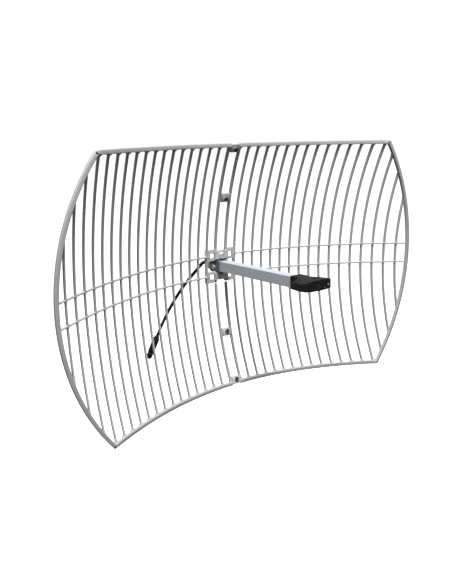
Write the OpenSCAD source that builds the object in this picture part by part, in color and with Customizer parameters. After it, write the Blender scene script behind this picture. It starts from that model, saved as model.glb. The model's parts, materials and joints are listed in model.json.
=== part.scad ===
// Parabolic grid antenna: a die-cast grid reflector in two halves, bolted together down the middle,
// with a square feed boom in a clamped socket, a moulded feed head, and a coaxial pigtail.
// Frame: +Z up, the dish looks along -Y, +X to the right seen from the front, and the origin lies
// at the centre of the four square mast-bracket holes, in the plane of the rear of the hub pads.

/* [Reflector] */
// Radius of the two side rims about the dish axis
dish_r = 500; // [480:5:520]
// Height from the top rim to the bottom rim, between their centrelines
dish_h = 600; // [560:10:640]
// Focal length of the paraboloid
focal = 340; // [320:5:360]
// Number of vertical ribs in each half
rib_count = 18; // [18]
// Distance from the centreline to the first rib
first_rib = 15.5; // [15.5:0.5:16.5]
// Distance from rib to rib
rib_pitch = 27; // [26.5:0.1:27.4]
// Width of a rib
rib_t = 3.8; // [3.5:0.1:4.5]
// Depth of a rib
rib_d = 7; // [5:0.5:7]
// Width of the two ribs beside the centreline
inner_rib_t = 5.5; // [5:0.1:6]
// Width of the outer rims
rim_t = 9.5; // [8:0.5:10]
// Depth of the outer rims
rim_d = 8; // [7:0.5:10]
// Height of each horizontal cross rib above or below the centre
cross_z = 26; // [25:0.5:27]

/* [Hub] */
// Depth of the hub pads
pad_d = 8; // [8:0.5:9]
// Thickness of the web at the front of each pad, which holds the bracket hole
pad_web = 3.5; // [3:0.5:5]
// Side of the square mast-bracket holes
bracket_hole = 12.5; // [10:0.5:12.5]
// Distance of the bracket holes from the centreline
bracket_x = 26.5; // [26.5:0.5:28.5]
// Height of the bracket holes and of the clamp bolts
bracket_z = 27; // [27]

/* [Feed] */
// Outer side of the square boom
boom_w = 25; // [24:0.5:26]
// Wall of the boom
boom_wall = 1.5; // [1.2:0.1:2]
// Length of the boom in front of the reflector
boom_front = 310; // [305:1:315]
// Length of the boom behind the reflector
boom_back = 42; // [42]
// Upward aim of the boom, in degrees
boom_aim = 3; // [0:0.5:4]
// Distance along the boom from the reflector to the back edge of the feed head
head_s = 287; // [284:1:290]

/* [Pigtail] */
// Diameter of the coaxial pigtail
cable_d = 9; // [8:0.5:10]
// Diameter of the boot behind the connector
boot_d = 21; // [20:0.5:22]
// Diameter of the connector's threaded barrel
barrel_d = 15.8; // [15.6:0.1:16]

/* [Hidden] */
$fn = 48;
slack = 0.01;

// Reflector surface. Its front face passes through y = face_y at the axis.
face_y = -pad_d;
half_h = dish_h / 2;
function dish_y(r) = face_y - r * r / (4 * focal);
function rib_x(i) = first_rib + rib_pitch * i;
rim_proud = 1;
rim_y = dish_y(dish_r) - rim_proud;
corner_x = sqrt(dish_r * dish_r - half_h * half_h);
corner_a = asin(half_h / dish_r);
// Each rib is an arc of a circle with the depth that the parabola has at the rims.
rib_sag = half_h * half_h / (4 * focal);
rib_r = (half_h * half_h + rib_sag * rib_sag) / (2 * rib_sag);
function rib_reach(x) = min(half_h, sqrt(dish_r * dish_r - x * x));
curve_steps = 12;

// Hub pads, from the inner rib to just past the second rib: a web at the front with full-depth
// walls above and below it. The boom socket passes between them.
pad_in = first_rib;
pad_out = rib_x(1) + 2.5;
pad_low = 14;
pad_high = 43;
pad_wall = 5;

// Joint lugs that overlap on the centreline, at two heights above and two below.
lug_z = [-291, -171, 171, 291];
lug_reach = 11;
lug_gap = 0.5;
lug_h = 17;
lug_t = 4;
joint_screw_d = 6;
joint_head_d = 10.5;
joint_head_h = 4;
joint_washer_d = 12;
joint_washer_t = 1.2;
joint_nut_af = 10;
joint_nut_h = 5;
lock_washer_t = 1.5;

// Clamp plates, in pairs above and below the boom, and their bolts. Plates: from and to, in height.
front_plate_w = 40;
front_plate_t = 4;
front_plates = [[17.5, 40], [-35.5, -17.5]];
rear_plate_w = 31;
rear_plate_t = 3;
rear_plates = [[18, 38], [-38, -18]];
clamp_bolt_d = 8;
bolt_af = 13;
bolt_head_h = 5.5;
clamp_washer_d = 16;
clamp_washer_t = 1.6;
clamp_nut_h = 6.5;
clamp_lock_t = 2;

// Boom socket, with a tab above and below it between the inner ribs.
socket_half = 15.5;
socket_low = -17.5;
socket_back = -27;
socket_front = 15;
socket_corner = 3.5;
tab_w = 24.5;
tab_high = 36;
set_screw_at = [-8, -2];

// Boom, in its own frame: local -Y runs forward along the boom and +Z across it.
boom_pivot_y = face_y + 2.5;
boom_in = boom_w - 2 * boom_wall;

// Feed head. Its plan as [half width, distance along the boom], up to a bowed nose.
head_wall = 2.4;
sleeve = boom_w / 2 + head_wall;
cap_s = 350;
head_half = [[sleeve, head_s], [20.5, 300], [27, 312], [36, 333], [41, cap_s]];
nose_w = 38;
tip_s = 357;
nose_s = 363;
// Cross sections of the head: distance along the boom, half width, and then the heights of the
// top and the bottom, each at its edge and at its middle
head_root = [[head_s, sleeve, 1, 1, -sleeve, -sleeve], [300, 20.5, 3, 3, -12.5, -14]];
head_dome = [
    [300, 20.5, 3, 3, -12.5, -14], [312, 27, 4.5, 14.6, -11, -13], [333, 36, 7, 15.8, -8.5, -11.3],
    [cap_s, 41, 8.8, 15.4, -6.6, -9.6], [364, 41, 8.8, 14.2, -5.8, -8.9]
];
// Screws in the front cap, as [across, up]
cap_screw_places = [[0, 3], [18, -3.5], [28, 1.5]];
cap_screw_d = 3;
clamp_screw_s = [293, 303];
screw_boss_d = 7.5;
screw_web = 2.4;
cap_screw_head_d = 6.5;

// Inside the head.
coax_d = 6;
balun_d = 9;
board_s = 317;
board_l = 20;
board_w = 52;
board_t = 1.6;
arm_l = 23;
arm_w = 6;
arm_t = 0.5;
arm_s = 327;
sub_s = 339.5;
sub_w = 64;
sub_h = 10;
sub_t = 1;
boss_s = 341.5;

// Tail plug and strain relief.
tail_flange = 2;
tail_depth = 12;
relief_l = 20;
relief_d1 = 15;
relief_d2 = 11;

// Route of the pigtail behind the reflector, from the strain relief to the boot.
cable_route = [
    [0, 58.4, -3.4], [0, 65.4, -4.3], [0, 73, -6.9], [0, 81, -11.2], [0, 92, -20.2], [0, 106, -32],
    [0, 124, -46.8], [0, 146, -65], [0, 170, -86], [0, 194, -108.5], [0, 218, -132.5],
    [0, 242, -158], [0, 265, -184], [0, 287, -210.5], [0, 308, -237.5], [0, 328, -264.5],
    [0, 346, -290]
];
cable_sides = 12;

// Connector, in its own frame at the end of the cable: local -Z runs on along the connector.
connector_at = cable_route[len(cable_route) - 1];
connector_lean = 34.5;
boot_l = 78;
boot_taper = 18;
boot_mouth_d = 12;
ferrule_l = 24;
body_shank_d = 16;
band_d = 19.5;
band_l = 6;
barrel_l = 18;
barrel_bore_d = 13;
barrel_bore_l = 12;
insulator_d = 8;
insulator_l = 8;
contact_d = 3.2;
contact_l = 10;
cap_clear = 0.3;
cap_wall = 1.2;
cap_end = 1.6;
cap_l = 23;
cap_lip = 1.5;
seal_t = 1;

// Moves a shape drawn along a boom into place.
module boom_frame() {
    translate([0, boom_pivot_y, 0]) rotate([-boom_aim, 0, 0]) children();
}

module connector_frame() {
    translate(connector_at) rotate([connector_lean, 0, 0]) children();
}

// A round bar along Y from y1 to y2
module y_bar(d, y1, y2) {
    translate([0, y2, 0]) rotate([90, 0, 0]) cylinder(d = d, h = y2 - y1);
}

module y_hex(af, y1, y2) {
    translate([0, y2, 0]) rotate([90, 30, 0]) cylinder(d = af / cos(30), h = y2 - y1, $fn = 6);
}

module y_ring(d, bore, y1, y2) {
    difference() {
        y_bar(d, y1, y2);
        y_bar(bore, y1 - 1, y2 + 1);
    }
}

// One vertical rib: an arc with a rectangular section, at distance x from the centreline.
module rib(x, t) {
    a = asin(rib_reach(x) / (rib_r + rib_d / 2));
    translate([x - t / 2, dish_y(x) - rib_r, 0])
        rotate([0, 90, 0])
            rotate([0, 0, 90 - a])
                rotate_extrude(angle = 2 * a, $fn = 96) translate([rib_r, 0]) square([rib_d, t]);
}

// A bar that follows the dish at one height, from x1 to x2.
module level_bar(z, x1, x2, t, d, proud) {
    xs = [for (i = [0 : curve_steps]) x1 + (x2 - x1) * i / curve_steps];
    front = [for (x = xs) [x, dish_y(norm([x, z])) - proud]];
    back = [for (i = [curve_steps : -1 : 0]) [xs[i], dish_y(norm([xs[i], z])) - proud + d]];
    translate([0, 0, z - t / 2]) linear_extrude(t) polygon(concat(front, back));
}

module side_rim() {
    rotate([0, -corner_a, 0])
        rotate([90, 0, 0])
            translate([0, 0, -rim_y - rim_d])
                rotate([0, 0, -2 * corner_a])
                    rotate_extrude(angle = 2 * corner_a, $fn = 96)
                        translate([dish_r - rim_t / 2, 0]) square([rim_t, rim_d]);
}

// Rounded boss where a level rim meets the side rim.
module corner_boss(side) {
    translate([corner_x, 0, side * half_h]) y_bar(rim_t + 3.5, rim_y, rim_y + rim_d);
}

// A block from the front of the hub backwards
module hub_block(x1, x2, z1, z2, depth) {
    translate([x1, face_y, z1]) cube([x2 - x1, depth, z2 - z1]);
}

module hub_pad() {
    difference() {
        hub_block(pad_in, pad_out, pad_low, pad_high, pad_web);
        translate([bracket_x - bracket_hole / 2, -pad_d - 1, bracket_z - bracket_hole / 2])
            cube([bracket_hole, pad_d + 2, bracket_hole]);
    }
    hub_block(pad_in, pad_out, pad_low, pad_low + pad_wall, pad_d);
    hub_block(pad_in, pad_out, pad_high - pad_wall, pad_high, pad_d);
}

// The inner rib, which ends in a straight stretch beside each pad
module inner_rib() {
    half = inner_rib_t / 2;
    difference() {
        rib(first_rib, inner_rib_t);
        translate([0, -40, -pad_high + 2]) cube([first_rib + 10, 60, 2 * pad_high - 4]);
    }
    for (side = [0, 1]) mirror([0, 0, side])
        hub_block(first_rib - half, first_rib + half, pad_low, pad_high, rib_d);
}

// Room for the boom socket and the rear clamp plates
module hub_gap() {
    translate([-socket_half - 0.5, -30, -18]) cube([2 * socket_half + 1, 40, 36]);
    translate([-socket_half - 0.5, face_y + rib_d, -pad_high]) cube([2 * socket_half + 1, 20, 2 * pad_high]);
}

module at_joint(z) {
    translate([0, dish_y(z), z]) rotate([atan(z / (2 * focal)), 0, 0]) children();
}

// A lug that crosses the centreline at height z; layer 0 is the front one and 1 the rear one.
// The outer lugs run on to the edge of the rim.
module lug(z, layer) {
    outward = abs(z) > half_h / 2 ? sign(z) * lug_h / 2 : 0;
    difference() {
        intersection() {
            at_joint(z) translate([-lug_reach, layer * lug_t - rim_proud, 0])
                for (up = [0, outward]) translate([0, 0, up - lug_h / 2])
                    cube([lug_reach + first_rib, lug_t, lug_h]);
            translate([-20, -100, -half_h - rim_t / 2]) cube([40, 100, 2 * half_h + rim_t]);
        }
        at_joint(z) y_bar(joint_screw_d + 0.6, -20, 20);
    }
}

module grid_half(layer) {
    difference() {
        union() {
            inner_rib();
            hub_pad();
            mirror([0, 0, 1]) hub_pad();
        }
        hub_gap();
    }
    for (i = [1 : rib_count - 1]) rib(rib_x(i), rib_t);
    for (side = [-1, 1]) {
        level_bar(side * half_h, lug_reach + lug_gap, corner_x, rim_t, rim_d, rim_proud);
        level_bar(side * cross_z, pad_out - 1, dish_r, rib_t, rib_d, 0);
        corner_boss(side);
    }
    side_rim();
    hub_block(rib_x(1) - 2.5, pad_out, -pad_high, pad_high, pad_d);
    for (z = lug_z) lug(z, layer);
}

module grid_left() {
    color([0.72, 0.73, 0.73]) mirror([1, 0, 0]) grid_half(1);
}

module grid_right() {
    color([0.72, 0.73, 0.73]) grid_half(0);
}

// Faces of the overlapped lugs, measured in the joint's own frame
joint_front = -rim_proud;
joint_back = 2 * lug_t - rim_proud;
joint_lock_y = joint_back + joint_washer_t;
joint_nut_y = joint_lock_y + lock_washer_t;

module joint_screws() {
    color([0.25, 0.25, 0.26])
        for (z = lug_z) at_joint(z) {
            head_y = joint_front - joint_washer_t;
            difference() {
                y_bar(joint_head_d, head_y - joint_head_h, head_y);
                y_hex(5, head_y - joint_head_h - 1, head_y - joint_head_h + 2.4);
            }
            y_bar(joint_screw_d, head_y - slack, joint_nut_y + joint_nut_h + 2);
        }
}

module joint_washers() {
    color([0.7, 0.7, 0.72])
        for (z = lug_z) at_joint(z) {
            y_ring(joint_washer_d, joint_screw_d, joint_front - joint_washer_t, joint_front);
            y_ring(joint_washer_d, joint_screw_d, joint_back, joint_lock_y);
        }
}

// A split ring, with its gap on one side
module split_ring(d, bore, y1, y2) {
    difference() {
        y_ring(d, bore, y1, y2);
        translate([0, y1 - 1, -0.5]) cube([d, y2 - y1 + 2, 1]);
    }
}

module joint_lock_washers() {
    color([0.6, 0.6, 0.62])
        for (z = lug_z) at_joint(z) split_ring(10, joint_screw_d, joint_lock_y, joint_nut_y);
}

module joint_nuts() {
    color([0.7, 0.7, 0.72])
        for (z = lug_z) at_joint(z) difference() {
            y_hex(joint_nut_af, joint_nut_y, joint_nut_y + joint_nut_h);
            y_bar(joint_screw_d, joint_nut_y - 1, joint_nut_y + joint_nut_h + 1);
        }
}

// A square bar along the boom, from s1 to s2
module boom_bar(w, s1, s2) {
    translate([-w / 2, -s2, -w / 2]) cube([w, s2 - s1, w]);
}

// A pair of clamp plates with a bolt hole in each
module clamp_plates(plates, w, y, t) {
    difference() {
        for (p = plates) translate([-w / 2, y, p[0]]) cube([w, t, p[1] - p[0]]);
        at_clamp_bolts() y_bar(clamp_bolt_d, -40, 20);
    }
}

clamp_front_y = face_y - front_plate_t;
clamp_mid_y = face_y + rib_d;
clamp_back_y = clamp_mid_y + rear_plate_t;

module front_clamp_plates() {
    color([0.74, 0.74, 0.78]) clamp_plates(front_plates, front_plate_w, clamp_front_y, front_plate_t);
}

module rear_clamp_plates() {
    color([0.6, 0.6, 0.63]) clamp_plates(rear_plates, rear_plate_w, clamp_mid_y, rear_plate_t);
}

// Section of the socket: a square with cut corners, deeper below than above
module socket_outline() {
    h = socket_half;
    c = socket_corner;
    polygon([
        [c - h, socket_low], [h - c, socket_low], [h, socket_low + c], [h, h - c],
        [h - c, h], [c - h, h], [-h, h - c], [-h, socket_low + c]
    ]);
}

module boom_socket() {
    color([0.25, 0.25, 0.27]) difference() {
        union() {
            boom_frame() translate([0, -socket_back, 0]) rotate([90, 0, 0])
                linear_extrude(socket_front - socket_back) socket_outline();
            translate([-tab_w / 2, face_y, -tab_high]) cube([tab_w, rib_d, 2 * tab_high]);
        }
        boom_frame() boom_bar(boom_w, -60, 60);
        at_clamp_bolts() y_bar(clamp_bolt_d, -40, 20);
        at_set_screw() cylinder(d = clamp_bolt_d, h = 40);
    }
}

clamp_head_y = clamp_front_y - clamp_washer_t;
clamp_lock_y = clamp_back_y + clamp_washer_t;
clamp_nut_y = clamp_lock_y + clamp_lock_t;

module at_clamp_bolts() {
    for (side = [-1, 1]) translate([0, 0, side * bracket_z]) children();
}

module clamp_bolts() {
    color([0.66, 0.66, 0.68]) at_clamp_bolts() {
        y_hex(bolt_af, clamp_head_y - bolt_head_h, clamp_head_y);
        y_bar(clamp_bolt_d, clamp_head_y - slack, clamp_nut_y + clamp_nut_h + 4);
    }
}

module clamp_washers() {
    color([0.72, 0.72, 0.74]) at_clamp_bolts() {
        y_ring(clamp_washer_d, clamp_bolt_d, clamp_head_y, clamp_front_y);
        y_ring(clamp_washer_d, clamp_bolt_d, clamp_back_y, clamp_lock_y);
    }
}

module clamp_lock_washers() {
    color([0.6, 0.6, 0.62]) at_clamp_bolts() split_ring(13, clamp_bolt_d, clamp_lock_y, clamp_nut_y);
}

module clamp_nuts() {
    color([0.68, 0.68, 0.7]) at_clamp_bolts() difference() {
        y_hex(bolt_af, clamp_nut_y, clamp_nut_y + clamp_nut_h);
        y_bar(clamp_bolt_d, clamp_nut_y - 1, clamp_nut_y + clamp_nut_h + 1);
    }
}

// Frame of the set screw: +Z runs out of the boom's left side
module at_set_screw() {
    boom_frame() translate([-boom_w / 2, -set_screw_at[0], set_screw_at[1]]) rotate([0, -90, 0]) children();
}

module at_clamp_screws() {
    boom_frame() for (s = clamp_screw_s) translate([0, -s, 0]) rotate([180, 0, 0]) children();
}

module boom_tube() {
    color([0.62, 0.64, 0.66]) difference() {
        boom_frame() difference() {
            boom_bar(boom_w, -boom_back, boom_front);
            boom_bar(boom_in, -boom_back - 1, boom_front + 1);
        }
        at_clamp_screws() cylinder(d = cap_screw_d, h = 20);
    }
}

module hex(af, h) {
    cylinder(d = af / cos(30), h = h, $fn = 6);
}

module boom_set_screw() {
    wall = socket_half - boom_w / 2;
    color([0.66, 0.66, 0.68]) at_set_screw() {
        cylinder(d = clamp_bolt_d, h = wall + slack);
        translate([0, 0, wall]) hex(bolt_af, bolt_head_h);
    }
}

// A round bar along the boom
module s_bar(d, s1, s2) {
    translate([0, -s1, 0]) rotate([90, 0, 0]) cylinder(d = d, h = s2 - s1);
}

module tail_plug() {
    color([0.06, 0.06, 0.07]) boom_frame() difference() {
        union() {
            boom_bar(boom_in, -boom_back - slack, -boom_back + tail_depth);
            boom_bar(boom_w, -boom_back - tail_flange, -boom_back);
        }
        s_bar(coax_d, -boom_back - tail_flange - 1, -boom_back + tail_depth + 1);
    }
}

relief_s = boom_back + tail_flange;

module strain_relief() {
    color([0.05, 0.05, 0.06]) boom_frame() translate([0, relief_s, 0]) rotate([-90, 0, 0])
        rotate_extrude() polygon([
            [coax_d / 2, 0], [relief_d1 / 2, 0], [relief_d1 / 2, 4],
            [relief_d2 / 2, relief_l], [coax_d / 2, relief_l]
        ]);
}

module feed_coax() {
    color([0.35, 0.35, 0.37]) boom_frame() s_bar(coax_d, -relief_s - relief_l, board_s);
}

module balun_tube() {
    color([0.78, 0.62, 0.3]) boom_frame() difference() {
        s_bar(balun_d, boom_front - 6, board_s);
        s_bar(coax_d, boom_front - 7, board_s + 1);
    }
}

module dipole_board() {
    color([0.1, 0.35, 0.2]) boom_frame()
        translate([-board_w / 2, -board_s - board_l, -board_t / 2]) cube([board_w, board_l, board_t]);
}

module dipole_arms() {
    color([0.8, 0.5, 0.25]) boom_frame() for (side = [-1, 1])
        translate([side * (arm_l / 2 + 2) - arm_l / 2, -arm_s - arm_w, board_t / 2])
            cube([arm_l, arm_w, arm_t]);
}

module sub_reflector() {
    color([0.75, 0.75, 0.76]) boom_frame()
        translate([-sub_w / 2, -sub_s - sub_t, -sub_h / 2]) cube([sub_w, sub_t, sub_h]);
}

module element_spacer() {
    color([0.9, 0.9, 0.88]) boom_frame()
        translate([-6, -sub_s, -sub_h / 2]) cube([12, sub_s - board_s - board_l, sub_h]);
}

// Plan of the head seen from above: a fan that widens to a bowed front, pulled in by g.
function head_plan(g) = let (sides = concat(head_half, [[nose_w, tip_s - g]])) concat(
    [for (p = sides) [p[0] - g, p[1]]],
    [for (a = [18 : 18 : 162])
        [(nose_w - g) * cos(a), tip_s - g + (nose_s - tip_s) * sin(a)]],
    [for (i = [len(sides) - 1 : -1 : 0]) [g - sides[i][0], sides[i][1]]]
);

// A thin slice with an arched top and bottom, pulled in by g.
module head_section(c, g) {
    top = [for (a = [0 : 20 : 180]) [(c[1] - g) * cos(a), c[2] - g + (c[3] - c[2]) * sin(a)]];
    low = [for (a = [180 : 30 : 360]) [(c[1] - g) * cos(a), c[4] + g + (c[4] - c[5]) * sin(a)]];
    translate([0, -c[0], 0]) rotate([90, 0, 0]) linear_extrude(0.1) polygon(concat(top, low));
}

module head_loft(sections, g) {
    hull() for (c = sections) head_section(c, g);
}

// The whole head: a square sleeve on the boom, spreading into a domed fan.
module head_shape(g) {
    intersection() {
        union() {
            head_loft(head_root, g);
            head_loft(head_dome, g);
        }
        translate([0, 0, -30]) linear_extrude(60) polygon([for (p = head_plan(g)) [p[0], -p[1]]]);
    }
    boom_bar(2 * (sleeve - g), head_s, boom_front + 3);
}

// The part of a shape from distance s1 to s2 along the boom
module head_slice(s1, s2) {
    intersection() {
        children();
        translate([-60, -s2, -30]) cube([120, s2 - s1, 60]);
    }
}

module at_cap_screws() {
    for (p = cap_screw_places) translate([p[0], 0, p[1]]) children();
}

// Bosses for the cap screws, each on a web between the top and bottom walls
module cap_bosses(s1, s2) {
    at_cap_screws() s_bar(screw_boss_d, s1, s2);
    for (p = cap_screw_places)
        translate([p[0] - screw_web / 2, -s2, -30]) cube([screw_web, s2 - s1, 60]);
}

module head_housing() {
    color([0.09, 0.09, 0.1]) boom_frame() difference() {
        head_slice(0, cap_s - seal_t) head_shape(0);
        difference() {
            head_slice(boom_front + 3, nose_s) head_shape(head_wall);
            cap_bosses(boss_s, nose_s);
        }
        boom_bar(boom_w, head_s - 1, boom_front);
        s_bar(balun_d, boom_front - 1, boom_front + 10);
        at_cap_screws() s_bar(cap_screw_d, boss_s + 1, nose_s);
        for (s = clamp_screw_s) translate([0, -s, -sleeve - 5]) cylinder(d = cap_screw_d, h = 12);
    }
}

module head_seal() {
    color([0.2, 0.2, 0.2]) boom_frame() difference() {
        head_slice(cap_s - seal_t, cap_s) head_shape(0.6);
        head_shape(head_wall);
    }
}

module head_front_cap() {
    color([0.08, 0.08, 0.09]) boom_frame() difference() {
        head_slice(cap_s, nose_s + 1) head_shape(0);
        difference() {
            head_shape(head_wall);
            at_cap_screws() s_bar(screw_boss_d, cap_s, nose_s);
        }
        at_cap_screws() {
            s_bar(cap_screw_d, cap_s - 1, nose_s);
            s_bar(cap_screw_head_d, tip_s, nose_s + 3);
        }
    }
}

module head_cap_screws() {
    color([0.5, 0.5, 0.52]) boom_frame() at_cap_screws() {
        s_bar(cap_screw_d, boss_s + 1, tip_s + slack);
        s_bar(cap_screw_head_d, tip_s, tip_s + 2.4);
    }
}

module head_clamp_screws() {
    color([0.5, 0.5, 0.52]) at_clamp_screws() {
        translate([0, 0, boom_in / 2]) cylinder(d = cap_screw_d, h = sleeve - boom_in / 2 + slack);
        translate([0, 0, sleeve]) cylinder(d1 = cap_screw_head_d, d2 = 4, h = 1.6);
    }
}

// A round tube of one closed skin along a list of points in the X = 0 plane.
function route_dir(i) = let (n = len(cable_route), a = cable_route[max(i - 1, 0)],
    b = cable_route[min(i + 1, n - 1)]) (b - a) / norm(b - a);
function end_dir(i) = i == 0 ? [0, cos(boom_aim), -sin(boom_aim)]
    : i == len(cable_route) - 1 ? [0, sin(connector_lean), -cos(connector_lean)] : route_dir(i);
function cable_ring(i) = let (d = end_dir(i), u = [0, -d[2], d[1]])
    [for (k = [0 : cable_sides - 1]) let (a = 360 * k / cable_sides)
        cable_route[i] + cable_d / 2 * (cos(a) * [1, 0, 0] + sin(a) * u)];

module pigtail_cable() {
    n = len(cable_route);
    m = cable_sides;
    points = [for (i = [0 : n - 1]) each cable_ring(i)];
    walls = [for (i = [0 : n - 2]) for (k = [0 : m - 1])
        [i * m + k, i * m + (k + 1) % m, (i + 1) * m + (k + 1) % m, (i + 1) * m + k]];
    first = [for (k = [m - 1 : -1 : 0]) k];
    last = [for (k = [0 : m - 1]) (n - 1) * m + k];
    color([0.05, 0.05, 0.06]) polyhedron(points, concat([first, last], walls));
}

// A turned piece along the connector: profile points are [radius, distance from the cable]
module turned(profile) {
    connector_frame() mirror([0, 0, 1]) rotate_extrude() polygon(profile);
}

module connector_boot() {
    color([0.05, 0.05, 0.06]) turned([
        [cable_d / 2, 0], [boot_mouth_d / 2, 0], [boot_d / 2, boot_taper], [boot_d / 2, boot_l],
        [body_shank_d / 2, boot_l], [body_shank_d / 2, ferrule_l], [cable_d / 2, ferrule_l]
    ]);
}

module crimp_ferrule() {
    color([0.75, 0.74, 0.7]) turned([[0, 0], [cable_d / 2, 0], [cable_d / 2, ferrule_l], [0, ferrule_l]]);
}

band_at = boot_l;
barrel_at = band_at + band_l;
bore_at = barrel_at + barrel_l - barrel_bore_l;

module connector_body() {
    color([0.76, 0.75, 0.72]) turned([
        [0, ferrule_l], [body_shank_d / 2, ferrule_l], [body_shank_d / 2, band_at], [band_d / 2, band_at],
        [band_d / 2, barrel_at], [barrel_d / 2, barrel_at], [barrel_d / 2, barrel_at + barrel_l],
        [barrel_bore_d / 2, barrel_at + barrel_l], [barrel_bore_d / 2, bore_at], [0, bore_at]
    ]);
}

module connector_insulator() {
    color([0.93, 0.93, 0.9]) turned([
        [contact_d / 2, bore_at], [insulator_d / 2, bore_at], [insulator_d / 2, bore_at + insulator_l],
        [contact_d / 2, bore_at + insulator_l]
    ]);
}

module connector_contact() {
    color([0.85, 0.7, 0.3]) turned([
        [0, bore_at], [contact_d / 2, bore_at], [contact_d / 2, bore_at + contact_l],
        [0.8, bore_at + contact_l], [0.8, bore_at + contact_l - 6], [0, bore_at + contact_l - 6]
    ]);
}

module connector_seal() {
    color([0.15, 0.15, 0.15]) turned([
        [barrel_d / 2, barrel_at], [band_d / 2 - 0.6, barrel_at], [band_d / 2 - 0.6, barrel_at + seal_t],
        [barrel_d / 2, barrel_at + seal_t]
    ]);
}

cap_at = barrel_at + seal_t + cap_clear;
cap_in_r = barrel_d / 2 + cap_clear;
cap_out_r = cap_in_r + cap_wall;

module dust_cap() {
    color([0.06, 0.06, 0.07]) turned([
        [cap_in_r, cap_at], [cap_out_r + 0.6, cap_at], [cap_out_r + 0.6, cap_at + cap_lip],
        [cap_out_r, cap_at + cap_lip], [cap_out_r, cap_at + cap_l - 1],
        [cap_out_r - 1, cap_at + cap_l], [0, cap_at + cap_l], [0, cap_at + cap_l - cap_end],
        [cap_in_r, cap_at + cap_l - cap_end]
    ]);
}

grid_left();
grid_right();
joint_screws();
joint_washers();
joint_lock_washers();
joint_nuts();
front_clamp_plates();
rear_clamp_plates();
clamp_bolts();
clamp_washers();
clamp_lock_washers();
clamp_nuts();
boom_socket();
boom_set_screw();
boom_tube();
tail_plug();
strain_relief();
feed_coax();
balun_tube();
dipole_board();
dipole_arms();
sub_reflector();
element_spacer();
head_housing();
head_seal();
head_front_cap();
head_cap_screws();
head_clamp_screws();
pigtail_cable();
connector_boot();
crimp_ferrule();
connector_body();
connector_insulator();
connector_contact();
connector_seal();
dust_cap();
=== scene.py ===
"""Looks for the parabolic grid antenna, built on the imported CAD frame. Units are metres."""
import json
import math

import bmesh
import bpy
from mathutils import Matrix, Vector


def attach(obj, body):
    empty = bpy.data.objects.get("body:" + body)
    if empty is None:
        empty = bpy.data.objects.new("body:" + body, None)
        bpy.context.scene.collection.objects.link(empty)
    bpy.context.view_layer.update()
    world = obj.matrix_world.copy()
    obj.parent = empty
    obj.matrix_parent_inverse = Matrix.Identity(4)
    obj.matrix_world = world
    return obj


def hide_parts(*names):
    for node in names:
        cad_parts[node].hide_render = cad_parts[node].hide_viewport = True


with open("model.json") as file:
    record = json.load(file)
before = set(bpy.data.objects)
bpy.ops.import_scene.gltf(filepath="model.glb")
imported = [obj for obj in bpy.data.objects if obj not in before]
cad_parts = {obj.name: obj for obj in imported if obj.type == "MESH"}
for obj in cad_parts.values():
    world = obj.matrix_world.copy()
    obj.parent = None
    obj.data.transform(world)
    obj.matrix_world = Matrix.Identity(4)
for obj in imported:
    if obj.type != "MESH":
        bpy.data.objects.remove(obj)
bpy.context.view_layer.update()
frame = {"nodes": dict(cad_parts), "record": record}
ROOT = "antenna"
CAP_BODY = "dust_cap"

# Camera, for a picture 452 wide and 584 high
CAMERA_AT = (-0.8786, -1.2761, 0.3509)
CAMERA_YAW = 0.6137
CAMERA_PITCH = -0.2669
CAMERA_ROLL = -0.0092
CAMERA_LENS = 38.2
CAMERA_SENSOR = 36.0

# Stage
FLOOR_Z = -0.75
FLOOR_SIZE = 14
FLOOR_GLOW = 0.75
SKY_STRENGTH = 0.65
LAMP_AT = (-0.6, -1.15, 2.85)
LAMP_TOWARDS = (0, -0.1, 0)
LAMP_SIZE = 1.0
LAMP_POWER = 210

# Reflector: in ribs and rims, T is the width seen from the front and D the depth along Y
DISH_R = 0.5
HALF_H = 0.3
FOCAL = 0.34
FACE_Y = -0.008
RIB_COUNT = 18
FIRST_RIB = 0.0155
RIB_PITCH = 0.027
RIB_T = 0.0038
RIB_D = 0.007
INNER_RIB_T = 0.0055
RIM_T = 0.0095
RIM_D = 0.008
RIM_PROUD = 0.001
CROSS_Z = 0.026
RIB_ROUND = 0.0007
BAR_ROUND = 0.0012
RIM_ROUND = 0.0016
END_FILLET = 0.005
BAR_FILLET = 0.0025
FILLET_SPREAD = 0.8
RIB_STEPS = 44
FILLET_STEPS = 5
BAR_STEPS = 32
RIM_STEPS = 24
LUG_Z = (-0.291, -0.171, 0.171, 0.291)
LUG_REACH = 0.011
LUG_H = 0.017
LUG_T = 0.004
LUG_TO_RIM = 0.0035
RIM_SEAM = 0.0005
PAD_OUT = 0.045
PAD_IN = 0.016
PAD_LOW = 0.014
PAD_HIGH = 0.043
PAD_WALL = 0.005
PAD_WEB = 0.0035
PAD_BITE = 0.002
CROSS_BITE = 0.001
STRIP_HALF = 0.0025
GAP_HIGH = 0.018
BRACKET_X = 0.0265
BRACKET_Z = 0.027
BRACKET_HOLE = 0.0125
INSET = 0.0002
RIB_SAG = HALF_H ** 2 / (4 * FOCAL)
RIB_ARC_R = (HALF_H ** 2 + RIB_SAG ** 2) / (2 * RIB_SAG)
RIM_Y = FACE_Y - DISH_R ** 2 / (4 * FOCAL) - RIM_PROUD
CORNER_X = math.sqrt(DISH_R ** 2 - HALF_H ** 2)
CORNER_A = math.asin(HALF_H / DISH_R)

# Boom frame: -Y runs forward along the boom
BOOM = Matrix.Translation((0, -0.0055, 0)) @ Matrix.Rotation(math.radians(-3), 4, "X")
TAIL_S = -0.044
SOCKET_HALF = 0.0155
SET_SCREW = (-SOCKET_HALF, 0.008, -0.002)

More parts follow.
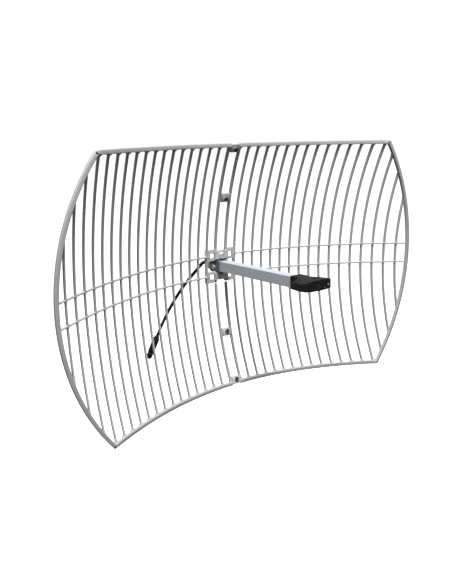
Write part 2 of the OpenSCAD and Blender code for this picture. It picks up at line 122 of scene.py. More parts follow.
# Fasteners: heights are along the screw, with the head upward
LUG_SCREW_R = 0.003
LUG_HEAD_R = 0.00525
LUG_HEAD = (0.0022, 0.0062)
LUG_SOCKET_FLATS = 0.005
LUG_THREAD = (-0.0080, -0.0167)
LUG_NUT = (-0.0097, -0.0147)
LUG_NUT_FLATS = 0.010
HEX_FLATS = 0.013
HEX_SIDES = 48
CLAMP_BOLT_R = 0.004
CLAMP_HEAD = (0.0136, 0.0191)
CLAMP_THREAD = (-0.0040, -0.0161)
CLAMP_NUT = (-0.0056, -0.0121)

# Pigtail, from the strain relief to the boot, and the connector's frame: +Z runs on along it
CABLE_D = 0.009
CABLE_ROUTE = [
    (0, .0584, -.0034), (0, .0654, -.0043), (0, .073, -.0069), (0, .081, -.0112),
    (0, .092, -.0202), (0, .106, -.032), (0, .124, -.0468), (0, .146, -.065), (0, .170, -.086),
    (0, .194, -.1085), (0, .218, -.1325), (0, .242, -.158), (0, .265, -.184), (0, .287, -.2105),
    (0, .308, -.2375), (0, .328, -.2645), (0, .346, -.290),
]
CONNECTOR = (Matrix.Translation(CABLE_ROUTE[-1]) @ Matrix.Rotation(math.radians(34.5), 4, "X")
             @ Matrix.Diagonal((1, 1, -1, 1)))
BOOT_R = 0.0105
BOOT_END = 0.0780
BAND_R = 0.0092
BARREL_R = 0.0079
BARREL_END = 0.1020
MOUTH_R = 0.0065
CAP_R = 0.0093
CAP_START = 0.0853
CAP_END = 0.1083
GRIP_SIDES = 96
TO_FRONT = Matrix.Rotation(math.radians(90), 4, "X")


# ---------------------------------------------------------------- materials
def put(tree, value, socket):
    """Links or sets a socket."""
    if isinstance(value, bpy.types.NodeSocket):
        tree.links.new(value, socket)
    elif hasattr(value, "__len__"):
        socket.default_value = (*value, 1)
    else:
        socket.default_value = value


def coordinates(tree, stretch):
    """Object coordinates in metres, stretched along the axes."""
    place = tree.nodes.new("ShaderNodeTexCoord")
    mapping = tree.nodes.new("ShaderNodeMapping")
    mapping.inputs["Scale"].default_value = stretch
    tree.links.new(place.outputs["Object"], mapping.inputs["Vector"])
    return mapping.outputs["Vector"]


def noise(tree, vector, scale, detail=3.0, rough=0.5):
    node = tree.nodes.new("ShaderNodeTexNoise")
    node.inputs["Scale"].default_value = scale
    node.inputs["Detail"].default_value = detail
    node.inputs["Roughness"].default_value = rough
    tree.links.new(vector, node.inputs["Vector"])
    return node.outputs["Fac"]


def ramp(tree, fac, stops):
    """A colour ramp whose stops are (position, colour or grey)."""
    node = tree.nodes.new("ShaderNodeValToRGB")
    elements = node.color_ramp.elements
    while len(elements) < len(stops):
        elements.new(0.5)
    for element, (position, value) in zip(elements, stops):
        element.position = position
        element.color = (*value, 1) if hasattr(value, "__len__") else (value, value, value, 1)
    tree.links.new(fac, node.inputs["Fac"])
    return node.outputs["Color"]


def mix(tree, mode, fac, a, b):
    node = tree.nodes.new("ShaderNodeMix")
    node.data_type = "RGBA"
    node.blend_type = mode
    put(tree, fac, node.inputs[0])
    put(tree, a, node.inputs[6])
    put(tree, b, node.inputs[7])
    return node.outputs[2]


def edge_wear(tree):
    """1 on sharp outer edges and 0 elsewhere."""
    geometry = tree.nodes.new("ShaderNodeNewGeometry")
    return ramp(tree, geometry.outputs["Pointiness"], [(0.52, 0.0), (0.6, 1.0)])


def add_bumps(tree, shader, layers):
    """Relief in layers of (height, strength, depth in metres)."""
    normal = None
    for height, strength, depth in layers:
        bump = tree.nodes.new("ShaderNodeBump")
        bump.inputs["Strength"].default_value = strength
        bump.inputs["Distance"].default_value = depth
        tree.links.new(height, bump.inputs["Height"])
        if normal:
            tree.links.new(normal, bump.inputs["Normal"])
        normal = bump.outputs["Normal"]
    tree.links.new(normal, shader.inputs["Normal"])


def finish(name, color, rough, metal=0.0, spread=0.06, rough_spread=0.08, patch=9.0, grain=900.0,
           grain_depth=0.00008, stretch=(1, 1, 1), worn=None, dust=0.0, specular=0.5):
    """A surface with patchy colour, varied gloss, grain in relief, worn edges and a little dust."""
    mat = bpy.data.materials.new(name)
    mat.use_nodes = True
    tree = mat.node_tree
    shader = tree.nodes["Principled BSDF"]
    shader.inputs["Metallic"].default_value = metal
    shader.inputs["Specular IOR Level"].default_value = specular
    vector = coordinates(tree, stretch)
    patches = noise(tree, vector, patch, 4.0, 0.6)
    fine = noise(tree, vector, grain, 2.0, 0.5)
    dark = [c * (1 - spread) for c in color]
    light = [min(c * (1 + spread), 1.0) for c in color]
    base = ramp(tree, patches, [(0.3, dark), (0.7, light)])
    speck = ramp(tree, fine, [(0.35, 1 - spread), (0.65, 1.0)])
    base = mix(tree, "MULTIPLY", 1.0, base, speck)
    if dust:
        grey = [c + (0.5 - c) * dust for c in color]
        film = ramp(tree, noise(tree, vector, 60, 6), [(0.5, 0.0), (0.75, 0.5)])
        base = mix(tree, "MIX", film, base, grey)
    if worn:
        base = mix(tree, "MIX", edge_wear(tree), base, worn)
    tree.links.new(base, shader.inputs["Base Color"])
    gloss = noise(tree, vector, patch * 5, 3.0)
    low, high = max(rough - rough_spread, 0.02), min(rough + rough_spread, 1.0)
    tree.links.new(ramp(tree, gloss, [(0.3, low), (0.7, high)]), shader.inputs["Roughness"])
    add_bumps(tree, shader, [(fine, 0.6, grain_depth), (patches, 0.2, grain_depth * 4)])
    return mat


ALONG_BOOM = (1, 0.03, 1)
MATERIALS = {
    "powder_coat": finish("powder_coat", (0.32, 0.324, 0.32), 0.5, spread=0.05, grain=650,
                          grain_depth=0.00012, patch=7, worn=(0.4, 0.4, 0.4)),
    "boom_alloy": finish("boom_alloy", (0.52, 0.56, 0.61), 0.42, metal=0.35, spread=0.05,
                         stretch=ALONG_BOOM, grain=1500, grain_depth=0.00003, patch=60),
    "flange_alloy": finish("flange_alloy", (0.5, 0.51, 0.56), 0.45, metal=0.4, grain=600,
                           patch=30, worn=(0.62, 0.62, 0.66)),
    # Painted shade: the boom socket is made near-black to stand in for the shade round the boom's root
    # behind the hub
    "black_paint": finish("black_paint", (0.08, 0.082, 0.086), 0.45, spread=0.12, grain=500, patch=40,
                          grain_depth=0.0001, worn=(0.12, 0.12, 0.12)),
    "zinc_steel": finish("zinc_steel", (0.66, 0.66, 0.68), 0.33, metal=0.7, grain=1200,
                         grain_depth=0.00003, patch=60, spread=0.1, worn=(0.75, 0.75, 0.76)),
    "dark_steel": finish("dark_steel", (0.07, 0.07, 0.075), 0.4, metal=0.8, patch=60, spread=0.12,
                         worn=(0.2, 0.2, 0.2)),
    "black_plastic": finish("black_plastic", (0.0065, 0.0068, 0.0075), 0.5, grain=1100, spread=0.15,
                            grain_depth=0.00007, worn=(0.014, 0.014, 0.015), dust=0.02, specular=0.25),
    "black_rubber": finish("black_rubber", (0.012, 0.012, 0.013), 0.55, grain=500, spread=0.2,
                           worn=(0.025, 0.025, 0.025), dust=0.06),
    "cable_jacket": finish("cable_jacket", (0.009, 0.009, 0.01), 0.4, grain=420, spread=0.2,
                           grain_depth=0.00005, dust=0.05),
    "coax_jacket": finish("coax_jacket", (0.02, 0.02, 0.02), 0.5, grain=600),
    "brass_tube": finish("brass_tube", (0.6, 0.42, 0.16), 0.3, metal=1.0, patch=30),
    "circuit_board": finish("circuit_board", (0.02, 0.11, 0.05), 0.3, patch=60),
    "copper_strip": finish("copper_strip", (0.62, 0.3, 0.16), 0.3, metal=1.0, patch=60),
    "white_plastic": finish("white_plastic", (0.75, 0.75, 0.72), 0.45),
    "nickel_plate": finish("nickel_plate", (0.5, 0.49, 0.46), 0.28, metal=1.0, patch=60,
                           spread=0.1, worn=(0.65, 0.63, 0.58)),
    "gold_contact": finish("gold_contact", (0.75, 0.5, 0.16), 0.22, metal=1.0, patch=40),
}


# ---------------------------------------------------------------- building blocks
def add_piece(name, bm, slot, stands_for, body=ROOT, smooth_below=38):
    """Turns a bmesh into a piece that rides on its body and replaces CAD nodes."""
    bmesh.ops.recalc_face_normals(bm, faces=bm.faces)
    mesh = bpy.data.meshes.new(name)
    bm.to_mesh(mesh)
    bm.free()
    mesh.materials.append(MATERIALS[slot])
    mesh.shade_smooth()
    mesh.set_sharp_from_angle(angle=math.radians(smooth_below))
    piece = bpy.data.objects.new(name, mesh)
    bpy.context.scene.collection.objects.link(piece)
    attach(piece, body)
    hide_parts(*stands_for)
    return piece


def loft(bm, rings, loop=False):
    """Joins rings of equally many points with a skin, capped at both ends or closed on itself."""
    rows = [[bm.verts.new(p) for p in ring] for ring in rings]
    n = len(rows[0])
    pairs = list(zip(rows, rows[1:])) + ([(rows[-1], rows[0])] if loop else [])
    for a, b in pairs:
        for k in range(n):
            bm.faces.new((a[k], a[(k + 1) % n], b[(k + 1) % n], b[k]))
    if not loop:
        bm.faces.new(rows[0][::-1])
        bm.faces.new(rows[-1])


def circle(radius, z, place, sides=40):
    """Points round the Z axis of a place, at height z."""
    return [place @ Vector((radius * math.cos(a), radius * math.sin(a), z))
            for a in (math.tau * k / sides for k in range(sides))]


def turned(bm, profile, place, sides=40, loop=False):
    """A turned shape from (radius, height) points about the local Z axis."""
    loft(bm, [circle(r, z, place, sides) for r, z in profile], loop)


def rounded_rect(width, height, radius, steps=3):
    """Points round a rectangle with rounded corners, centred on the origin."""
    out = []
    for quarter, (sx, sy) in enumerate(((1, 1), (-1, 1), (-1, -1), (1, -1))):
        for k in range(steps + 1):
            a = math.pi / 2 * (quarter + k / steps)
            out.append((sx * (width / 2 - radius) + radius * math.cos(a),
                        sy * (height / 2 - radius) + radius * math.sin(a)))
    return out


def block(bm, low, high, round_off=0.0007, place=Matrix()):
    """A box with softened edges."""
    low, high = Vector(low), Vector(high)
    size = Matrix.Diagonal((*(high - low), 1))
    made = bmesh.ops.create_cube(bm, size=1, matrix=place @ Matrix.Translation((low + high) / 2) @ size)
    edges = list(dict.fromkeys(e for v in made["verts"] for e in v.link_edges))
    bmesh.ops.bevel(bm, geom=edges, offset=round_off, segments=2, profile=0.5, affect="EDGES")


def hex_ring(flats, z, place, chamfer=0.0, up=1):
    """A hexagon whose corners are cut back by a 30 degree chamfer."""
    start, slope = 0.98, 0.577
    out = []
    for k in range(HEX_SIDES):
        a = math.tau * k / HEX_SIDES
        r = flats / 2 / math.cos((a + math.pi / 6) % (math.pi / 3) - math.pi / 6)
        drop = max(0.0, r - flats / 2 * start) * slope if chamfer else 0.0
        out.append(place @ Vector((r * math.cos(a), r * math.sin(a), z - up * (drop + chamfer))))
    return out


def hex_head(bm, flats, z1, z2, place):
    """A bolt head with its chamfered face at z2."""
    up = 1 if z2 > z1 else -1
    loft(bm, [circle(flats / 2 * 0.94, z1, place, HEX_SIDES),
              hex_ring(flats, z1 + up * 0.0002, place),
              hex_ring(flats, z2, place, 0.0001, up),
              circle(flats / 2 * 0.93, z2, place, HEX_SIDES),
              circle(flats / 2 * 0.86, z2 - up * 0.0002, place, HEX_SIDES)])


def hex_nut(bm, flats, bore, high, low, place):
    """A nut between two heights, with chamfers outside and round its bore."""
    hole, face, soft = bore / 2, flats / 2 * 0.93, 0.0005
    loft(bm, [circle(hole, low + soft, place, HEX_SIDES), circle(hole + soft, low, place, HEX_SIDES),
              circle(face, low, place, HEX_SIDES), hex_ring(flats, low, place, 0.0001, -1),
              hex_ring(flats, high, place, 0.0001, 1), circle(face, high, place, HEX_SIDES),
              circle(hole + soft, high, place, HEX_SIDES), circle(hole, high - soft, place, HEX_SIDES)],
         loop=True)


def threaded(radius, z1, z2, pitch, depth):
    """A profile with a ridge at each pitch, from z1 to z2, with a chamfered end at z2."""
    count = max(int(abs(z2 - z1) / pitch) - 1, 1)
    step = (z2 - z1) / (count + 1)
    out = [(radius, z1)]
    for i in range(1, count + 1):
        z = z1 + step * i
        out += [(radius, z - step * 0.3), (radius - depth, z), (radius, z + step * 0.3)]
    return out + [(radius, z2 - math.copysign(depth, step)), (radius - depth, z2)]


def cast_look(node_name, voxel, rounds, factor=0.5):
    """Softens a CAD node's edges and inner corners, as on a casting or a moulding."""
    node = frame["nodes"][node_name]
    remesh = node.modifiers.new("skin", "REMESH")
    remesh.mode = "VOXEL"
    remesh.voxel_size = voxel
    remesh.use_smooth_shade = True
    soften = node.modifiers.new("soften", "SMOOTH")
    soften.factor = factor
    soften.iterations = rounds


# ---------------------------------------------------------------- reflector
def dish_y(r):
    """Where the face of the bowl is, at a distance r from its axis."""
    return FACE_Y - r * r / (4 * FOCAL)


def fillet(distance, radius):
    """How far a fillet stands out at a distance from the bar it runs into."""
    if distance >= radius:
        return 0.0
    return radius - math.sqrt(radius ** 2 - (radius - max(distance, 0.0)) ** 2)


def rib_stations(low, high):
    """Heights of the rings of a rib: evenly spread, and closer where it meets other bars."""
    heights = {low + (high - low) * i / RIB_STEPS for i in range(RIB_STEPS + 1)}
    for centre, half, radius in rib_joints(high):
        for k in range(FILLET_STEPS + 1):
            away = half + radius * (k / FILLET_STEPS) ** 1.5
            heights |= {side * (centre + way * away) for side in (-1, 1) for way in (-1, 1)}
    return sorted(h for h in heights if low <= h <= high)


def rib_joints(reach):
    """Bars that a rib meets: their height, half width and fillet, which is widest on a level rim."""
    end_fillet = END_FILLET if reach == HALF_H else BAR_FILLET
    return (reach, RIM_T / 2, end_fillet), (CROSS_Z, RIB_T / 2, BAR_FILLET)


def rib_half_width(z, t, reach):
    """Half the width of a rib at height z, with the fillets where it meets other bars."""
    spread = max(fillet(abs(abs(z) - centre) - half, radius)
                 for centre, half, radius in rib_joints(reach))
    return t / 2 + spread * FILLET_SPREAD


def rib(bm, x, t, low, high, reach, mirror):
    """A rib from height low to high, as an arc with a rounded section."""
    rings = []
    for z in rib_stations(low, high):
        a = math.asin(z / (RIB_ARC_R + RIB_D / 2))
        wide = 2 * rib_half_width(z, t, reach)
        ring = []
        for across, deep in rounded_rect(wide, RIB_D, RIB_ROUND):
            r = RIB_ARC_R + RIB_D / 2 + deep
            y = dish_y(x) - RIB_ARC_R + r * math.cos(a)
            ring.append((mirror * (x + across), y, r * math.sin(a)))
        rings.append(ring)
    loft(bm, rings)


def level_bar(bm, z, x1, x2, t, d, proud, mirror):
    """A bar at height z that follows the bowl and stands proud of its face."""
    rings = []
    for i in range(BAR_STEPS + 1):
        x = x1 + (x2 - x1) * i / BAR_STEPS
        y = dish_y(math.hypot(x, z)) - proud + d / 2
        rings.append([(mirror * x, y + deep, z + up) for deep, up in rounded_rect(d, t, BAR_ROUND)])
    loft(bm, rings)


def side_rim(bm, mirror):
    """The round rim from the lower corner to the upper one."""
    rings = []
    for i in range(2 * RIM_STEPS + 1):
        a = CORNER_A * (i / RIM_STEPS - 1)
        rings.append([(mirror * (DISH_R + out) * math.cos(a), RIM_Y + RIM_D / 2 + deep,
                       (DISH_R + out) * math.sin(a))
                      for out, deep in rounded_rect(RIM_T, RIM_D, RIM_ROUND)])
    loft(bm, rings)


def corner_boss(bm, side, mirror):
    """A rounded joint where two rims meet."""
    place = Matrix.Translation((mirror * CORNER_X, RIM_Y, side * HALF_H)) @ TO_FRONT
    r, corner = RIM_T / 2, 0.0005
    turned(bm, [(r - RIM_ROUND, 0), (r - corner, -corner), (r, -RIM_ROUND),
                (r, RIM_ROUND - RIM_D), (r - corner, corner - RIM_D), (r - RIM_ROUND, -RIM_D)],
           place, 32)


def hub_pad(bm, side, mirror):
    """A web with its square bracket hole, and the walls behind it."""
    half = BRACKET_HOLE / 2
    soft, margin = 0.0006, 0.001
    front, back = FACE_Y + INSET / 2, FACE_Y + PAD_WEB
    left, right, low, high = PAD_IN + margin, PAD_OUT - margin, PAD_LOW + margin, PAD_HIGH - margin
    outer = [(left, low), (right, low), (right, high), (left, high)]
    inner = [(BRACKET_X + sx * half, BRACKET_Z + sz * half)
             for sx, sz in ((-1, -1), (1, -1), (1, 1), (-1, 1))]

    def ring(points, y, grow):
        return [(mirror * (x + math.copysign(grow, x - BRACKET_X)), y,
                 side * (z + math.copysign(grow, z - BRACKET_Z))) for x, z in points]

    loft(bm, [ring(outer, front, 0), ring(outer, back, 0), ring(inner, back, soft),
              ring(inner, back - soft, 0), ring(inner, front + soft, 0), ring(inner, front, soft)],
         loop=True)
    for wall in (PAD_LOW, PAD_HIGH - PAD_WALL):
        block(bm, *sorted_box((mirror * PAD_IN, FACE_Y + INSET, side * wall),
                              (mirror * (PAD_OUT - INSET), 0, side * (wall + PAD_WALL))))


def sorted_box(a, b):
    """The low and the high corner of a box from any two opposite ones."""
    return tuple(map(min, a, b)), tuple(map(max, a, b))


def joint_place(z):
    """The frame of a lug: on the bowl at height z and square to it."""
    return Matrix.Translation((0, dish_y(z), z)) @ Matrix.Rotation(math.atan(z / (2 * FOCAL)), 4, "X")


def lug(bm, z, layer, mirror):
    """A lap lug, which is longer on the side of the nearer rim."""
    y = layer * LUG_T - RIM_PROUD
    low, high = -LUG_H / 2, LUG_H / 2
    low, high = (low, high + LUG_TO_RIM) if z > 0 else (low - LUG_TO_RIM, high)
    block(bm, *sorted_box((-mirror * LUG_REACH, y, low), (mirror * FIRST_RIB, y + LUG_T, high)),
          place=joint_place(z))


def build_reflector(name, node, mirror, layer):
    """Half of the reflector; layer is 0 where its lugs are in front and 1 behind."""
    bm = bmesh.new()
    for i in range(1, RIB_COUNT):
        x = FIRST_RIB + RIB_PITCH * i
        reach = min(HALF_H, math.sqrt(DISH_R ** 2 - x * x))
        rib(bm, x, RIB_T, -reach, reach, reach, mirror)
    for low, high in ((-HALF_H, PAD_BITE - PAD_HIGH), (PAD_HIGH - PAD_BITE, HALF_H)):
        rib(bm, FIRST_RIB, INNER_RIB_T, low, high, HALF_H, mirror)
    half = INNER_RIB_T / 2
    for side in (-1, 1):
        block(bm, *sorted_box((mirror * (FIRST_RIB - half), FACE_Y, side * GAP_HIGH),
                              (mirror * (FIRST_RIB + half), FACE_Y + RIB_D, side * PAD_HIGH)))
        level_bar(bm, side * HALF_H, LUG_REACH + RIM_SEAM, CORNER_X, RIM_T, RIM_D, RIM_PROUD, mirror)
        level_bar(bm, side * CROSS_Z, PAD_OUT - CROSS_BITE, DISH_R, RIB_T, RIB_D, 0, mirror)
        corner_boss(bm, side, mirror)
        hub_pad(bm, side, mirror)
    side_rim(bm, mirror)
    pad_strip = FIRST_RIB + RIB_PITCH
    block(bm, *sorted_box((mirror * (pad_strip - STRIP_HALF), FACE_Y, INSET - PAD_HIGH),
                          (mirror * PAD_OUT, -INSET / 2, PAD_HIGH - INSET)))
    for z in LUG_Z:
        lug(bm, z, layer, mirror)
    add_piece(name, bm, "powder_coat", [node])


# ---------------------------------------------------------------- fasteners
def build_joint_screws():
    """Socket-head screws in the lugs, with their nuts."""
    screws, nuts = bmesh.new(), bmesh.new()
    base, top = LUG_HEAD
    for z in LUG_Z:
        place = joint_place(z) @ TO_FRONT
        head = [(LUG_SCREW_R, base), (0.0050, base), (LUG_HEAD_R, 0.0025), (LUG_HEAD_R, 0.0056),
                (0.0047, top), (0.0032, top)]
        loft(screws, [
            *(circle(r, height, place, HEX_SIDES) for r, height in head),
            hex_ring(LUG_SOCKET_FLATS, 0.0059, place), hex_ring(LUG_SOCKET_FLATS, 0.0038, place),
            circle(0.001, 0.0034, place, HEX_SIDES),
        ])
        shank = [(LUG_SCREW_R, base), *threaded(LUG_SCREW_R, *LUG_THREAD, 0.001, 0.0004)]
        turned(screws, shank, place)
        hex_nut(nuts, LUG_NUT_FLATS, 0.0058, *LUG_NUT, place)
    add_piece("lug_screws", screws, "dark_steel", ["joint_screws"])
    add_piece("lug_nuts", nuts, "zinc_steel", ["joint_nuts"])


def build_clamp_bolts():
    """Hexagon bolts through the clamp plates, with their nuts."""
    bolts, nuts = bmesh.new(), bmesh.new()
    for side in (-1, 1):
        place = Matrix.Translation((0, 0, side * BRACKET_Z)) @ TO_FRONT
        hex_head(bolts, HEX_FLATS, *CLAMP_HEAD, place)
        shank = [(CLAMP_BOLT_R, 0.0137), *threaded(CLAMP_BOLT_R, *CLAMP_THREAD, 0.00125, 0.0005)]
        turned(bolts, shank, place)
        hex_nut(nuts, HEX_FLATS, 0.0078, *CLAMP_NUT, place)
    add_piece("hub_bolts", bolts, "zinc_steel", ["clamp_bolts"])
    add_piece("hub_nuts", nuts, "zinc_steel", ["clamp_nuts"])


def build_set_screw():
    """A hexagon bolt in the left side of the boom socket."""
    place = BOOM @ Matrix.Translation(SET_SCREW) @ Matrix.Rotation(math.radians(-90), 4, "Y")
    bm = bmesh.new()
    hex_head(bm, HEX_FLATS, 0, 0.0055, place)
    turned(bm, [(0.0035, -0.003), (0.004, -0.0025), (0.004, 0.0001)], place)
    add_piece("set_screw", bm, "zinc_steel", ["boom_set_screw"])


# ---------------------------------------------------------------- pigtail
def smooth_path(points, steps):
    """A Catmull-Rom curve through points, with steps to each stretch."""
    p = [Vector(q) for q in points]
    p = [2 * p[0] - p[1], *p, 2 * p[-1] - p[-2]]
    out = []
    for i in range(1, len(p) - 2):
        for k in range(steps):
            t = k / steps
            out.append(0.5 * (2 * p[i] + (p[i + 1] - p[i - 1]) * t
                              + (2 * p[i - 1] - 5 * p[i] + 4 * p[i + 1] - p[i + 2]) * t * t
                              + (3 * p[i] - 3 * p[i + 1] + p[i + 2] - p[i - 1]) * t ** 3))
    out.append(p[-2])
    return out


def cable_rings(path, radius, sides):
    """Rings square to a path that lies in the X = 0 plane."""
    across = Vector((1, 0, 0))
    rings = []
    for i, point in enumerate(path):
        ahead = path[min(i + 1, len(path) - 1)] - path[max(i - 1, 0)]
        up = across.cross(ahead.normalized())
        rings.append([point + radius * (math.cos(a) * across + math.sin(a) * up)
                      for a in (math.tau * k / sides for k in range(sides))])
    return rings


def build_strain_relief():
    """A tapered gland with four flexing grooves."""
    place = BOOM @ Matrix.Translation((0, -TAIL_S, 0)) @ Matrix.Rotation(math.radians(-90), 4, "X")
    profile = [(0.0031, 0), (0.0070, 0), (0.0075, 0.0005), (0.0075, 0.0035), (0.0070, 0.0041)]
    for i in range(4):
        z = 0.0055 + 0.0032 * i
        r = 0.0071 - 0.0004 * i
        profile += [(r, z), (r - 0.0009, z + 0.0004), (r - 0.0009, z + 0.0011), (r - 0.0002, z + 0.0015)]
    profile += [(0.0055, 0.0190), (0.0051, 0.0200), (0.0031, 0.0200)]
    bm = bmesh.new()
    turned(bm, profile, place, loop=True)
    return add_piece("cable_gland", bm, "black_rubber", ["strain_relief"])


def build_boot():
    """Heat-shrink boot: it narrows onto the cable, with soft ripples and a rolled edge."""
    profile = [(0.0045, 0.0006), (0.0049, 0), (0.0056, 0.0003), (0.0060, 0.0012)]
    for i in range(1, 10):
        t = i / 9
        ease = t * t * (3 - 2 * t)
        profile.append((0.0060 + 0.0045 * ease - 0.0001 * (i % 2), 0.0012 + 0.0168 * t))
    for i in range(1, 14):
        profile.append((BOOT_R - 0.00022 * (0.5 + 0.5 * math.cos(i * 2.1)), 0.018 + 0.0043 * i))
    profile += [(BOOT_R, 0.0772), (0.0100, BOOT_END), (0.0080, BOOT_END), (0.0080, 0.024),
                (0.0045, 0.024)]
    bm = bmesh.new()
    turned(bm, profile, CONNECTOR, 48, loop=True)
    return add_piece("shrink_boot", bm, "black_rubber", ["connector_boot"])


def plain_rings(profile):
    """Circles about the connector's axis, from (radius, height) points."""
    return [circle(r, z, CONNECTOR, GRIP_SIDES) for r, z in profile]


def ridged_ring(radius, z, points_per_ridge, cut):
    """A circle about the connector's axis that is cut back between its ridges."""
    axis = CONNECTOR @ Vector((0, 0, z))
    return [p if k % points_per_ridge < points_per_ridge // 2 else axis + (p - axis) * cut
            for k, p in enumerate(circle(radius, z, CONNECTOR, GRIP_SIDES))]


def build_connector():
    """Connector shell: a knurled band and a threaded barrel."""
    bm = bmesh.new()
    rings = plain_rings([(0.0040, 0.0241), (BARREL_R, 0.0241), (BARREL_R, 0.0781), (BAND_R, 0.0781)])
    rings += [ridged_ring(0.00975, z, 4, 0.955) for z in (0.0784, 0.0800, 0.0820, 0.0836)]
    rings += plain_rings([(BAND_R, 0.0840), (BARREL_R, 0.0840),
                          *threaded(BARREL_R, 0.0852, BARREL_END, 0.00106, 0.0005),
                          (MOUTH_R, BARREL_END), (MOUTH_R, 0.0900), (0.0020, 0.0900)])
    loft(bm, rings)
    return add_piece("connector_shell", bm, "nickel_plate", ["connector_body"])


def build_dust_cap():
    """Push-on cap with a lip, grip ridges and a rounded end."""
    bm = bmesh.new()
    rings = plain_rings([(0.00818, 0.0856), (0.0086, CAP_START), (0.0097, CAP_START), (0.0100, 0.0857),
                         (0.0100, 0.0865), (0.0097, 0.0869), (CAP_R, 0.0871)])
    rings += [ridged_ring(CAP_R, z, 6, cut)
              for z, cut in ((0.0885, 1.0), (0.0890, 0.96), (0.1050, 0.96), (0.1056, 1.0))]
    rings += plain_rings([(CAP_R, 0.1070), (0.0090, 0.1077), (0.0082, 0.1082), (0.0060, CAP_END),
                          (0.0010, CAP_END), (0.0010, 0.1067), (0.0070, 0.1067), (0.00818, 0.1062)])
    loft(bm, rings, loop=True)
    gate_mark(bm)
    return add_piece("cap_shell", bm, "black_plastic", ["dust_cap"], body=CAP_BODY)


def gate_mark(bm):
    """The mark of the mould's gate, which closes the middle of the dust cap's end."""
    turned(bm, [(0.0002, 0.1069), (0.0012, 0.1069), (0.0014, 0.1080), (0.0012, CAP_END),
                (0.0002, 0.10815)], CONNECTOR, 24)


def build_pigtail():
    """The cable as one tube along its route, with the pieces on both its ends."""
    path = smooth_path(CABLE_ROUTE, 6)
    bm = bmesh.new()
    loft(bm, cable_rings(path, CABLE_D / 2, 28))
    jacket = add_piece("pigtail_jacket", bm, "cable_jacket", ["pigtail_cable"])
    made = [build_strain_relief(), build_boot(), build_connector(), build_dust_cap()]


# ---------------------------------------------------------------- CAD nodes that stay
def dress_cad_nodes():
    """Gives each CAD node that is left to be seen the material of its slot."""
    slots = {s["node"]: s["material_slot"] for s in frame["record"]["subparts"]}
    for name, node in frame["nodes"].items():
        for slot in node.material_slots:
            slot.material = MATERIALS[slots[name]]


def soften_boom():
    """Rounds the long edges of the square tube."""
    bevel = frame["nodes"]["boom_tube"].modifiers.new("edges", "BEVEL")
    bevel.width = 0.0009
    bevel.segments = 3
    bevel.limit_method = "ANGLE"
    bevel.harden_normals = True


# ---------------------------------------------------------------- stage
def make_floor():
    """A white floor that glows, so that it melts into the background and lights nothing."""
    bm = bmesh.new()
    bmesh.ops.create_grid(bm, x_segments=1, y_segments=1, size=FLOOR_SIZE)
    mesh = bpy.data.meshes.new("floor")
    bm.to_mesh(mesh)
    bm.free()
    floor = bpy.data.objects.new("floor", mesh)
    floor.location.z = FLOOR_Z
    bpy.context.scene.collection.objects.link(floor)
    paint = finish("floor_paint", (0.9, 0.9, 0.9), 0.9, spread=0.004, patch=2, grain=40,
                   grain_depth=0.0001)
    shader = paint.node_tree.nodes["Principled BSDF"]
    shader.inputs["Emission Color"].default_value = (1, 1, 1, 1)
    shader.inputs["Emission Strength"].default_value = FLOOR_GLOW
    mesh.materials.append(paint)
    floor.visible_diffuse = False
    floor.visible_glossy = False


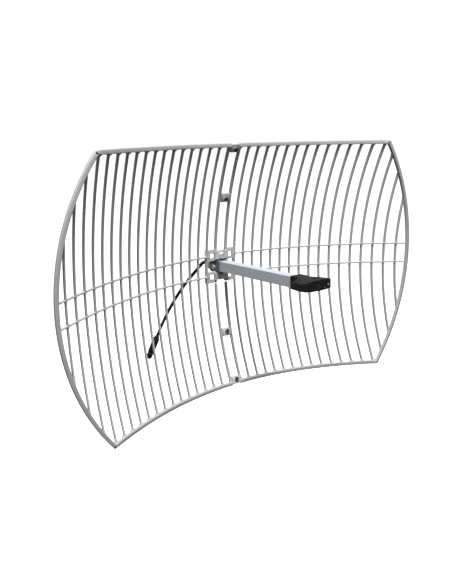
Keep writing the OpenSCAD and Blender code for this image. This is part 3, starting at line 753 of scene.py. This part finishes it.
def make_world():
    """White behind the object; its light is bright overhead and dim from below."""
    world = bpy.data.worlds.new("studio")
    bpy.context.scene.world = world
    world.use_nodes = True
    tree = world.node_tree
    tree.nodes.clear()
    place = tree.nodes.new("ShaderNodeTexCoord")
    split = tree.nodes.new("ShaderNodeSeparateXYZ")
    tree.links.new(place.outputs["Generated"], split.inputs["Vector"])
    level = tree.nodes.new("ShaderNodeMapRange")
    level.inputs["From Min"].default_value = -1
    tree.links.new(split.outputs["Z"], level.inputs["Value"])
    sky = ramp(tree, level.outputs["Result"], [(0.0, 0.12), (0.45, 0.22), (0.65, 0.5), (1.0, 1.0)])
    lit = tree.nodes.new("ShaderNodeBackground")
    lit.inputs["Strength"].default_value = SKY_STRENGTH
    tree.links.new(sky, lit.inputs["Color"])
    seen = tree.nodes.new("ShaderNodeBackground")
    seen.inputs["Color"].default_value = (1, 1, 1, 1)
    choose = tree.nodes.new("ShaderNodeMixShader")
    ray = tree.nodes.new("ShaderNodeLightPath")
    tree.links.new(ray.outputs["Is Camera Ray"], choose.inputs["Fac"])
    tree.links.new(lit.outputs["Background"], choose.inputs[1])
    tree.links.new(seen.outputs["Background"], choose.inputs[2])
    out = tree.nodes.new("ShaderNodeOutputWorld")
    tree.links.new(choose.outputs["Shader"], out.inputs["Surface"])


def make_lamp():
    """A round lamp above and in front of the object."""
    data = bpy.data.lights.new("top_light", "AREA")
    data.shape = "DISK"
    data.size = LAMP_SIZE
    data.energy = LAMP_POWER
    light = bpy.data.objects.new("top_light", data)
    light.location = LAMP_AT
    light.rotation_euler = (Vector(LAMP_TOWARDS) - Vector(LAMP_AT)).to_track_quat("-Z", "Y").to_euler()
    bpy.context.scene.collection.objects.link(light)


def make_camera():
    """The camera, turned by its yaw, pitch and roll."""
    data = bpy.data.cameras.new("camera")
    data.sensor_width = CAMERA_SENSOR
    data.lens = CAMERA_LENS
    yaw, pitch, roll = CAMERA_YAW, CAMERA_PITCH, CAMERA_ROLL
    ahead = Vector((math.sin(yaw) * math.cos(pitch), math.cos(yaw) * math.cos(pitch), math.sin(pitch)))
    level = Vector((math.cos(yaw), -math.sin(yaw), 0))
    upright = level.cross(ahead)
    right = math.cos(roll) * level + math.sin(roll) * upright
    up = math.cos(roll) * upright - math.sin(roll) * level
    camera = bpy.data.objects.new("camera", data)
    turn = Matrix((right, up, -ahead)).transposed().to_4x4()
    camera.matrix_world = Matrix.Translation(CAMERA_AT) @ turn
    bpy.context.scene.collection.objects.link(camera)
    bpy.context.scene.camera = camera


make_camera()
dress_cad_nodes()
build_pigtail()
build_reflector("reflector_left", "grid_left", -1, 1)
build_reflector("reflector_right", "grid_right", 1, 0)
build_joint_screws()
build_clamp_bolts()
build_set_screw()
soften_boom()
cast_look("head_housing", 0.0007, 4)
cast_look("head_front_cap", 0.0005, 3)
cast_look("front_clamp_plates", 0.0006, 3)
cast_look("rear_clamp_plates", 0.0006, 3)
cast_look("boom_socket", 0.0006, 3)
cast_look("tail_plug", 0.0005, 2)
make_floor()
make_world()
make_lamp()
bpy.context.scene.view_settings.view_transform = "Standard"
